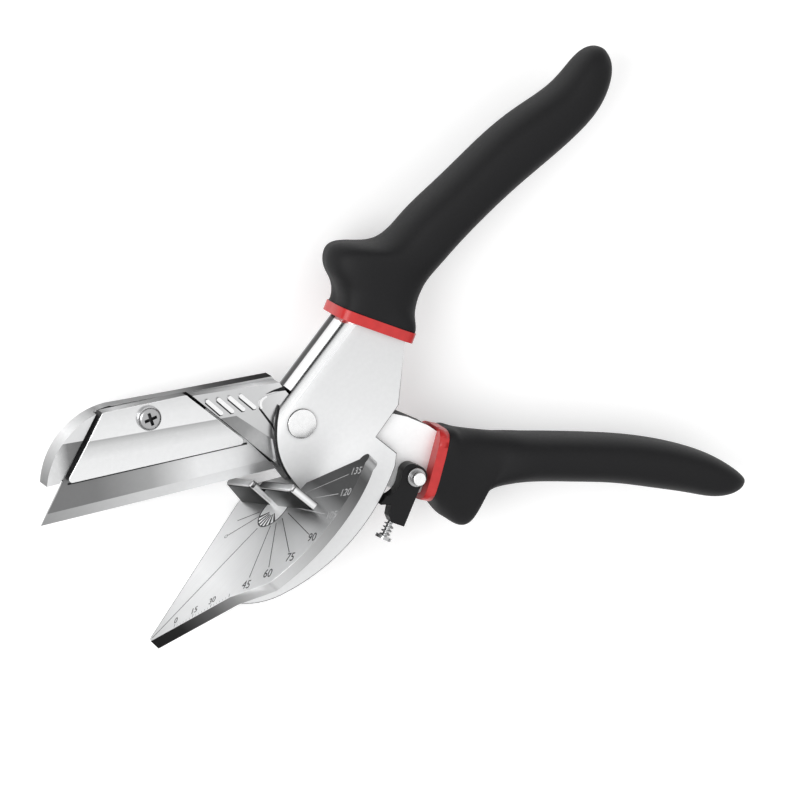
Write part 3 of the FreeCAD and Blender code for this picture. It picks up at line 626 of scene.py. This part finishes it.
def lever_wall(face, along, high):
    """The wall ahead of the boss is painted black, and the back darker than the other sides, both as shade."""
    if face.normal.x < -0.85 and STEP_FROM < along < RIBS_TO:
        return painted_shade
    return cast_back if high < BACK_UNDER and face.normal.y > 0.3 and along > BACK_FROM else cast_side


def lever_face(face):
    along = Vector(LEVER_X).dot(face.center) / MM - PIVOT_ON_LEVER
    up = Vector(LEVER_UP).dot(face.center) / MM
    high = face.center.z / MM
    looks_up = face.normal.z > WALL_UNDER
    if abs(face.normal.z) < WALL_UNDER:
        return lever_wall(face, along, high)
    # the floor of the pocket is painted black as shade
    if looks_up and high < POCKET_FLOOR and along > POCKET_FROM and up < POCKET_TO:
        return painted_shade
    # the nose below the crease is painted darker as shade
    if looks_up and along < NOSE_TO and up < CREASE:
        return nose_dark
    # the sloping facet carries a ramp of painted shade
    if 0.9 < face.normal.z < 0.998 and along > FACET_FROM:
        return sunk
    if looks_up and along > SHANK_FROM:
        return shank_face
    # the tops of the ribs take the bright steel of a worn edge, also a painted highlight
    return wear_and_highlight if high > RIB_TOPS and along < RIBS_TO else cast


dress("blade_lever", "lever", [cast, cast_side, nose_dark, sunk, painted_shade, cast_back, wear_and_highlight,
                                              shank_face], 0.14, lever_face, bright=True,
      split=(opened(SHANK_FROM, 0.0, 0.0), LEVER_X))

# %% [markdown]
# ## Clamp plate, screw and latch pin
# The plate holds the blade and comes off with one cross-recess screw, and its walls are painted dark as shade.
# The floor and the walls of the cross are in shade. They could be a piece of their own, but they are part of the
# screw's mesh, so they are picked out by their distance from its axis and their depth below its head. The latch
# turns on a pin with a bright head, whose sides are painted darker with zinc as shade.

# %% Plate, screw and pin
SCREW_AXIS = Vector((-4.48 * MM, 41.21 * MM, 0.0))
CROSS_REACH, CROSS_DEEP = 1.75, 0.25    # how far out the recess goes, and how far down its faces lie at least


def plate_face(face):
    if abs(face.normal.z) > WALL_UNDER:
        return plate
    # the plate's walls are painted as shade: the lever side's finish where they face up, black elsewhere
    return cast_side if face.normal.y > 0.7 and face.normal.x > 0.2 else painted_shade


def screw_face(face):
    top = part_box("clamp_screw")[1].z
    away = math.hypot(face.center.x - SCREW_AXIS.x, face.center.y - SCREW_AXIS.y)
    return recess if face.center.z < top - CROSS_DEEP * MM and away < CROSS_REACH * MM else zinc


dress("clamp_plate", "lever", [plate, cast_side, painted_shade], 0.2, plate_face, bright=True)
dress("clamp_screw", "lever", [zinc, recess], 0.05, screw_face)
# the pin's head is bright, and its sides are painted darker as shade
dress("latch_pin", "lever", [wear_and_highlight, zinc], 0.12, head_or_rim(wear_and_highlight, zinc))

# %% [markdown]
# ## Painted shadows at the roots
# The foot of a raised form is in shade, and that shade is painted here. A darkening by ambient occlusion would
# spread wide and soft, while these are crisp, so they are thin dark strips. They follow the feet of the four ribs,
# the edge of the pivot boss and the lower edge of the clamp plate, and are drawn as the lever lies with the jaws
# shut.

# %% Helper: prisms
def prism(work, upper, lower):
    """A closed prism between two outlines that match spot by spot."""
    top = [work.verts.new(spot) for spot in upper]
    base = [work.verts.new(spot) for spot in lower]
    work.faces.new(top)
    work.faces.new(base[::-1])
    for index in range(len(top)):
        after = (index + 1) % len(top)
        work.faces.new((top[index], base[index], base[after], top[after]))


def strip(work, spots, low, high):
    """A thin prism on the blade lever, between two heights."""
    prism(work, [opened(x, y, high) for x, y in spots], [opened(x, y, low) for x, y in spots])


def collected(name, work, material, body):
    """The collected prisms as one piece."""
    bmesh.ops.recalc_face_normals(work, faces=work.faces)
    mesh = bpy.data.meshes.new(name)
    work.to_mesh(mesh)
    work.free()
    piece = link(name, mesh, material)
    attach(piece, body)
    print("%-18s %5d faces" % (name, len(mesh.polygons)))


print("what is drawn level lies at %.1f degrees, jaws open" % math.degrees(math.atan2(LEVER_X[1], LEVER_X[0])))

# %% [markdown]
# ## Feet of the ribs, the boss and the plate
# The ribs stand side by side and fan out a little, so one rib is drawn and repeated. Its strip of painted shadow
# starts at the upper end, runs down the lower side and turns round the lower end. The boss takes two strips of
# painted shadow and one bright line along its rim, a painted highlight.

# %% Strips at the feet of raised forms
RIBS, RIB_START, RIB_PITCH = 4, (-22.0, 10.6), (2.85, -0.25)
RIB_REACH, RIB_FAN = (2.9, -3.7), 0.05  # from a rib's start to its end, and how much shorter each one gets
ROOT_NEAR, ROOT_FAR = 0.4, 0.82         # from a rib's middle to its strip's two sides
RIB_ROOT_LEVELS = (3.98, 4.03)
BOSS_FRONT = [(-9.0, 6.2), (-9.35, 5.4), (-6.85, 0.4), (-6.1, -2.0), (-6.45, 0.8), (-8.95, 5.6)]
BOSS_TOP = [(-7.0, 8.7), (-5.0, 9.2), (-2.0, 9.5), (-2.0, 8.4), (-5.0, 8.8)]
BOSS_ROOT_LEVELS = (3.98, 4.15)
PLATE_FOOT, PLATE_FOOT_LEVELS = [(-59.4, -1.2), (-59.6, -1.62), (-13.4, -2.82), (-13.4, -2.4)], (2.5, 2.95)
BOSS_RIM = [(-9.0, 5.4), (-9.05, 6.4), (-8.75, 7.4), (-8.1, 8.0), (-7.0, 8.3),
            (-6.8, 7.95), (-7.8, 7.5), (-8.3, 7.0), (-8.5, 6.4), (-8.45, 5.5)]
BOSS_RIM_LEVELS = (4.0, 4.17)


def beside(spot, ahead, along, aside):
    """A spot moved along a direction and to the right of it."""
    return (spot[0] + ahead[1] * aside + ahead[0] * along, spot[1] - ahead[0] * aside + ahead[1] * along)


# painted shadow strips at the feet of the ribs, the boss and the clamp plate
roots = bmesh.new()
for index in range(RIBS):
    start = (RIB_START[0] + RIB_PITCH[0] * index, RIB_START[1] + RIB_PITCH[1] * index)
    end = (start[0] + RIB_REACH[0], start[1] + RIB_REACH[1] + RIB_FAN * index)
    long = math.dist(start, end)
    ahead = ((end[0] - start[0]) / long, (end[1] - start[1]) / long)
    outline = [(start, -0.1, ROOT_NEAR), (start, 0.0, ROOT_FAR), (end, 0.3, ROOT_FAR), (end, 0.8, 0.3),
               (end, 0.6, -0.3)]
    strip(roots, [beside(spot, ahead, along, aside) for spot, along, aside in outline], *RIB_ROOT_LEVELS)
strip(roots, BOSS_FRONT, *BOSS_ROOT_LEVELS)
strip(roots, BOSS_TOP, *BOSS_ROOT_LEVELS)
strip(roots, PLATE_FOOT, *PLATE_FOOT_LEVELS)
collected("painted_root_shadows", roots, painted_shade, "lever")
# a painted highlight along the boss's rim
rim = bmesh.new()
strip(rim, BOSS_RIM, *BOSS_RIM_LEVELS)
collected("boss_rim_painted_highlight", rim, wear_and_highlight, "lever")

# %% [markdown]
# ## The punched edge of the near side plate
# The plate is two millimetres thick, and its punched edge is rough. The shade along it is painted: a heavy dark
# line of painted shadow between the plate and the lever behind it, and a dark hair line of painted shade round the
# rest of the plate and the crescent. Narrow ribbons follow the outline of the solid model. The front one sinks with
# the fold where the plate turns over into the web, and it stays above the lever, which turns close below it.

# %% Helper: arcs and ribbons
PLATE_OUT, FOLD_RADIUS, FOLD_FROM = 6.5, 5.0, 2.6       # near face, and the fold with the height where it starts
CLEAR_OF_LEVER = 4.45                                   # the lever turns just below this
RIBBON_SUNK, RIBBON_SLANT, RIBBON_LEAST = 0.06, 0.1, 0.15       # below the plate's face, across its top, thickness


def arc_spots(a, b, c, steps):
    """Spots on the arc from a through b to c."""
    square = [x * x + y * y for x, y in (a, b, c)]
    twice = 2.0 * (a[0] * (b[1] - c[1]) + b[0] * (c[1] - a[1]) + c[0] * (a[1] - b[1]))
    x = (square[0] * (b[1] - c[1]) + square[1] * (c[1] - a[1]) + square[2] * (a[1] - b[1])) / twice
    y = (square[0] * (c[0] - b[0]) + square[1] * (a[0] - c[0]) + square[2] * (b[0] - a[0])) / twice
    radius = math.dist((x, y), a)
    angles = [math.atan2(spot[1] - y, spot[0] - x) for spot in (a, b, c)]
    for index in (1, 2):
        while angles[index] - angles[index - 1] > math.pi:
            angles[index] -= 2 * math.pi
        while angles[index] - angles[index - 1] < -math.pi:
            angles[index] += 2 * math.pi
    spread = angles[2] - angles[0]
    return [(x + radius * math.cos(angles[0] + spread * step / steps),
             y + radius * math.sin(angles[0] + spread * step / steps)) for step in range(steps + 1)]


def ribbon(work, path, wide, deep):
    """A flat bar to the left of a path of spots from the pivot, its top near the plate's face."""
    rings = []
    for index, spot in enumerate(path):
        ahead = Vector(path[min(index + 1, len(path) - 1)]) - Vector(path[max(index - 1, 0)])
        left = Vector((-ahead.y, ahead.x)).normalized() * wide
        into_fold = min(FOLD_RADIUS, max(0.0, spot[1] - FOLD_FROM))
        high = PLATE_OUT - FOLD_RADIUS + math.sqrt(FOLD_RADIUS ** 2 - into_fold ** 2) - RIBBON_SUNK
        high = max(high, CLEAR_OF_LEVER + RIBBON_LEAST)
        low = max(high - deep, CLEAR_OF_LEVER)
        rings.append([work.verts.new(PIVOT + Vector((x, y, z)) * MM) for x, y, z in (
            (spot[0], spot[1], high), (spot[0] + left.x, spot[1] + left.y, high - RIBBON_SLANT),
            (spot[0] + left.x, spot[1] + left.y, low), (spot[0], spot[1], low))])
    for before, after in zip(rings, rings[1:]):
        for index in range(4):
            onward = (index + 1) % 4
            work.faces.new((before[index], before[onward], after[onward], after[index]))
    work.faces.new(rings[0])
    work.faces.new(rings[-1][::-1])


print("the ribbons stay %.2f mm over the lever's middle plane" % CLEAR_OF_LEVER)

# %% [markdown]
# ## The two ribbons
# An arc through three measured spots is easier to check against a part than a centre and a radius, so the front
# edge and the crescent are given that way. The straight edges between them are a few corners.

# %% Ribbons along the punched edge
FRONT_WIDE, FRONT_DEEP, FRONT_TO = 0.46, 0.8, 6.8       # the front ribbon ends where the fold meets the web
HAIR_WIDE, HAIR_DEEP = 0.2, 0.5

# a painted shadow along the plate's front edge
front = bmesh.new()
front_arc = [spot for spot in arc_spots((-11.3, -8.0), (-8.1, 0.4), (2.6, 7.6), 28) if spot[1] < FRONT_TO]
ribbon(front, front_arc, FRONT_WIDE, FRONT_DEEP)
collected("plate_front_edge", front, painted_shade, "frame")
# a hair line of painted shade round the rest of the plate and the crescent
hair = bmesh.new()
crescent_tip = arc_spots((-32.0, -27.3), (-39.8, -22.5), (-44.9, -14.7), 10)
crescent_rim = arc_spots((8.5, -26.1), (-13.0, -30.9), (-32.0, -27.3), 20)
lower_edge = [(33.3, -4.4), (19.8, -15.7), (18.5, -15.9), (10.3, -17.0), (11.0, -24.2)]
ribbon(hair, lower_edge + crescent_rim + crescent_tip[1:], HAIR_WIDE, HAIR_DEEP)
collected("plate_hair_line", hair, painted_edge_shade, "frame")

# %% [markdown]
# ## Small steel parts
# Washers, the bush, the pegs, the hidden spring, the ring, the plunger and the hub are right as they are. A bevel on
# them would be finer than the eye can see, so they keep their solid and only take a finish.

# %% Finishes for the small parts
KEPT = {"hub_disc": serrated, "pivot_washers": zinc, "pivot_bush": brass, "return_spring": wire,
        "blade_pegs": turned, "latch_ring": zinc, "latch_screw": plunger_steel}
for node, material in KEPT.items():
    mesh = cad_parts[node].data
    mesh.materials.clear()
    mesh.materials.append(material)
print("kept as solids:", ", ".join(sorted(KEPT)))

# %% [markdown]
# ## The latch's coil spring
# The spring stands between the latch and the plunger's head, and shortens as the plunger is pressed. The wire is
# under half a millimetre thick. Here the coil only takes the wire's finish, with no break on its edges, and a mesh of
# its own.

# %% The latch spring
spring = dress("latch_spring", "latch", [wire], 0.0)
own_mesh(spring)

# %% [markdown]
# ## The blade
# Its flank is ground and grey, and the bevel along the cutting edge is honed brighter; a ramp of painted reflection
# darkens both towards the tip. Both are one piece of steel, so the two finishes are two materials on one mesh. A face
# belongs to the bevel when its normal leans towards the edge.

# %% Blade with a honed bevel
BEVEL_UNDER = 0.9985                    # a flank's normal rises more than this


def blade_face(face):
    return honed if abs(face.normal.z) < BEVEL_UNDER else ground


dress("blade", "lever", [ground, honed], 0.0, blade_face)

# %% [markdown]
# ## How the scale is engraved
# A spinning cutter leaves a shallow matt groove. Cut with a Boolean, such fine grooves would tangle the table's mesh,
# and a texture goes soft from close by, so the marks are thin inlays a few hundredths of a millimetre proud of the
# table. A stroke is an inlay with four corners, and a ring is made of short strokes.

# %% Helper: strokes on the table
PROUD, INLAY_THICK = 0.02, 0.04
LINE_WIDE = 0.22


def inlay(work, spots):
    """A thin prism on the table's face over a closed outline of (x, z) spots."""
    prism(work, [(x * MM, PROUD * MM, z * MM) for x, z in spots],
          [(x * MM, (PROUD - INLAY_THICK) * MM, z * MM) for x, z in spots])


def stroke(work, start, end, wide=LINE_WIDE, swell=1.0):
    """A line on the face; swell is how much wider it ends than it starts."""
    long = math.dist(start, end)
    side = ((end[1] - start[1]) / long * wide / 2, (start[0] - end[0]) / long * wide / 2)
    inlay(work, [(start[0] + side[0], start[1] + side[1]), (end[0] + side[0] * swell, end[1] + side[1] * swell),
                 (end[0] - side[0] * swell, end[1] - side[1] * swell), (start[0] - side[0], start[1] - side[1])])


def ring_stroke(work, centre, radius, wide, steps):
    for index in range(steps):
        spots = []
        for turn, reach in ((index, radius), (index + 1, radius), (index + 1, radius + wide), (index, radius + wide)):
            angle = 2 * math.pi * turn / steps
            spots.append((centre[0] + reach * math.cos(angle), centre[1] + reach * math.sin(angle)))
        inlay(work, spots)


print("marks stand %.2f mm proud, lines are %.2f mm wide" % (PROUD, LINE_WIDE))

# %% [markdown]
# ## The protractor
# Lines run out from the hub every fifteen degrees, with one long line to the tip, along the cut, and two short ones
# on the far side. Those that cross the dark part of the table are pale. The protractor is turned a little from the
# table's own length, so one angle is added to its lines and figures from 45 to 135 degrees.

# %% Lines from the hub
SCALE_CENTRE = (2.6, 3.1)               # along the table and across it
SCALE_TURN = -5.0                       # the protractor is turned a little in the table
DARK_LINES, DARK_FROM, DARK_TO = (45, 60, 75, 90), 7.4, 24.8
PALE_LINES, PALE_FROM = [(105, 24.0), (120, 23.8), (135, 24.0)], 8.9    # degrees and where the line ends
FAR_LINES, FAR_FROM = [(-37.0, 17.0), (-52.0, 15.0)], 7.0
TIP, TIP_LINE_FROM, TIP_LINE_WIDE = (-42.3, 0.8), 8.0, 0.24
END_RING, END_RING_WIDE, END_RING_OFF = 0.42, 0.14, 0.55                # a small ring ends the first far line
FAR_EDGE, FAR_EDGE_WIDE = ((-42.2, -0.05), (-2.9, -15.9)), 0.14


def from_centre(degrees, radius):
    """A spot on the table's face: 0 degrees points to the tip and 90 to the near rim."""
    angle = math.radians(degrees)
    return (SCALE_CENTRE[0] - radius * math.cos(angle), SCALE_CENTRE[1] + radius * math.sin(angle))


lines = bmesh.new()
stroke(lines, from_centre(0, TIP_LINE_FROM), TIP, TIP_LINE_WIDE)
for degrees in DARK_LINES:
    stroke(lines, from_centre(degrees + SCALE_TURN, DARK_FROM), from_centre(degrees + SCALE_TURN, DARK_TO))
pale_lines = bmesh.new()
for degrees, radius in PALE_LINES:
    stroke(pale_lines, from_centre(degrees + SCALE_TURN, PALE_FROM), from_centre(degrees + SCALE_TURN, radius))
for degrees, radius in FAR_LINES:
    stroke(lines, from_centre(degrees, FAR_FROM), from_centre(degrees, radius))
ring_stroke(lines, from_centre(FAR_LINES[0][0], FAR_LINES[0][1] + END_RING_OFF), END_RING, END_RING_WIDE, steps=20)
stroke(lines, *FAR_EDGE, FAR_EDGE_WIDE)
print("protractor: %d faces so far" % len(lines.faces))

# %% [markdown]
# ## Ticks on the nose and teeth in the hub
# The straight edge beside the tip carries a short scale of its own, with long ticks and five short ones after each.
# The hub disc is serrated. A dark ring round its rim and dark wedges that widen towards its rim, in the gaps
# between its teeth, are painted shade. The wedges are drawn with the same stroke as the lines, only swollen at one
# end.

# %% Ticks and hub
NOSE_FROM, NOSE_ALONG, NOSE_IN = (-43.2, 1.3), (0.762, 0.648), (0.648, -0.762)
TICKS, SMALL_TICKS = [7.8, 13.9, 19.9, 26.0], range(1, 6)
TICK_FROM, TICK_TO, TICK_WIDE = 0.35, 1.5, 0.13
SMALL_TO, SMALL_WIDE = 0.8, 0.08
HUB_CENTRE, HUB_RADIUS = (0.7, 3.2), 5.2
HUB_RING_IN, HUB_RING_WIDE = 0.12, 0.34
TEETH, FIRST_TOOTH, TOOTH_STEP = 7, 118.0, 18.0
TOOTH_FROM, TOOTH_TO, TOOTH_WIDE, TOOTH_SWELL = 1.6, 5.1, 0.26, 2.8


def on_nose(along, inward):
    return (NOSE_FROM[0] + along * NOSE_ALONG[0] + inward * NOSE_IN[0],
            NOSE_FROM[1] + along * NOSE_ALONG[1] + inward * NOSE_IN[1])


for along in TICKS:
    stroke(lines, on_nose(along, TICK_FROM), on_nose(along, TICK_TO), TICK_WIDE)
    for part in SMALL_TICKS if along < TICKS[-1] else ():
        stroke(lines, on_nose(along + part, TICK_FROM), on_nose(along + part, SMALL_TO), SMALL_WIDE)
# painted shade: a dark ring round the hub's rim, and dark wedges in the gaps between its teeth
ring_stroke(lines, HUB_CENTRE, HUB_RADIUS - HUB_RING_IN, HUB_RING_WIDE, steps=48)
for index in range(TEETH):
    angle = math.radians(FIRST_TOOTH + TOOTH_STEP * index)
    foot, end = [(HUB_CENTRE[0] + reach * math.cos(angle), HUB_CENTRE[1] + reach * math.sin(angle))
                 for reach in (TOOTH_FROM, TOOTH_TO)]
    stroke(lines, foot, end, TOOTH_WIDE, swell=TOOTH_SWELL)
collected("scale_lines", lines, etched_and_shade, "frame")
collected("scale_lines_pale", pale_lines, pale_mark, "frame")

# %% [markdown]
# ## The numerals
# Plain figures stand at the end of each line, and small ones over the ticks of the nose. Blender's own text object
# draws them, and they are turned into meshes that make two pieces, one of dark figures and one of pale. Each figure
# is laid out by two directions on the face, one along its reading direction and one towards its top. Those on the
# dark part of the face are pale.

# %% Numerals
SIZE_PER_HEIGHT = 1.38                  # the text object's size for a figure one unit high
FIGURE_DEEP, FIGURE_THICKER = 0.02, 0.02
READING, UPRIGHT = (0.405, 0.914), (0.741, -0.671)
ARC_FIGURES = [(45, 27.3, 2.9), (60, 27.3, 2.9), (75, 27.3, 2.9), (90, 27.3, 2.9), (105, 27.3, 2.5),
               (120, 26.6, 2.5), (135, 26.6, 2.5)]      # degrees, distance from the centre, height
NOSE_FIGURES, NOSE_HIGH, NOSE_INWARD = ("0", "15", "30"), 2.1, 2.8
NARROW, NOSE_NARROW = 0.85, 0.8


def numeral(text, at, along, top, high, narrow):
    """A flat text as a mesh on the table's face, centred on a spot."""
    curve = bpy.data.curves.new("figure_" + text, "FONT")
    curve.body = text
    curve.size = high * SIZE_PER_HEIGHT * MM
    curve.align_x = "CENTER"
    curve.align_y = "CENTER"
    curve.extrude = FIGURE_DEEP * MM
    curve.offset = 0.0 if "4" in text else FIGURE_THICKER * MM      # a thickened 4 fills its own eye
    curve.resolution_u = 3
    holder = bpy.data.objects.new("figure_" + text, curve)
    bpy.context.scene.collection.objects.link(holder)
    bpy.context.view_layer.update()
    mesh = bpy.data.meshes.new_from_object(holder)
    bpy.data.objects.remove(holder)
    reading = Vector((along[0], 0.0, along[1])).normalized()
    upward = Vector((top[0], 0.0, top[1])).normalized()
    place = Matrix((reading * narrow, upward, reading.cross(upward))).transposed().to_4x4()
    mesh.transform(Matrix.Translation(Vector((at[0], 0.0, at[1])) * MM) @ place)
    return mesh


figures, pale_figures = bmesh.new(), bmesh.new()
for degrees, reach, high in ARC_FIGURES:
    work = figures if degrees in DARK_LINES else pale_figures
    work.from_mesh(numeral(str(degrees), from_centre(degrees + SCALE_TURN, reach), READING, UPRIGHT, high, NARROW))
for along, text in zip(TICKS, NOSE_FIGURES):
    figures.from_mesh(numeral(text, on_nose(along, NOSE_INWARD), NOSE_ALONG, NOSE_IN, NOSE_HIGH, NOSE_NARROW))
collected("scale_figures", figures, etched_and_shade, "frame")
collected("scale_figures_pale", pale_figures, pale_mark, "frame")
